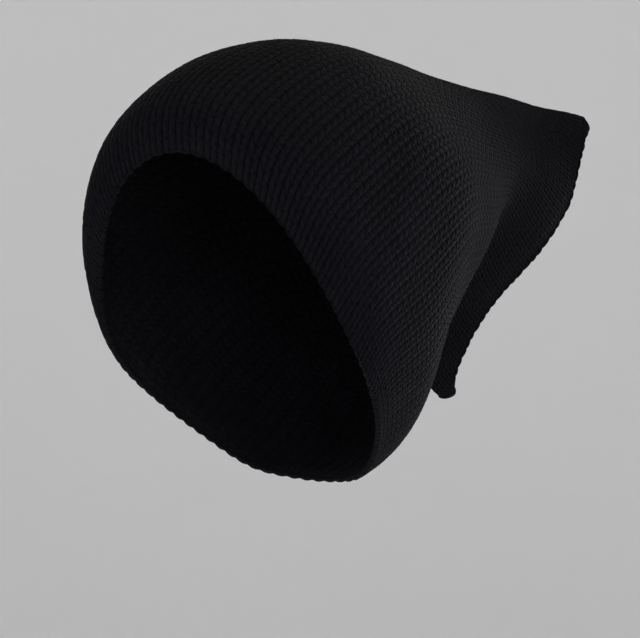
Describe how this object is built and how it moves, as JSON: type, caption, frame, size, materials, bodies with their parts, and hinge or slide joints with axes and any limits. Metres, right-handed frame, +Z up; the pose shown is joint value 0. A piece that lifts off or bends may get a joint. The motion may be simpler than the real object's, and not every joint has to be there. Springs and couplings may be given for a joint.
{
  "type": "stocking cap",
  "caption": "Long knitted black cap in its worn shape: a soft tube with a slanting hem, sewn flat at the back so that two corners stand and hang behind the head.",
  "frame": {"origin": "inside of the crown, where the cap rests on the top of the head", "axes": "+Z up, -Y the way the wearer looks, +X the wearer's left"},
  "size_m": [0.1563, 0.2843, 0.2088],
  "materials": {
    "knit": "matte",
    "seam_wool": "matte"
  },
  "bodies": {
    "root": {"cap_body": "knit", "closing_seam": "seam_wool"}
  },
  "joints": []
}
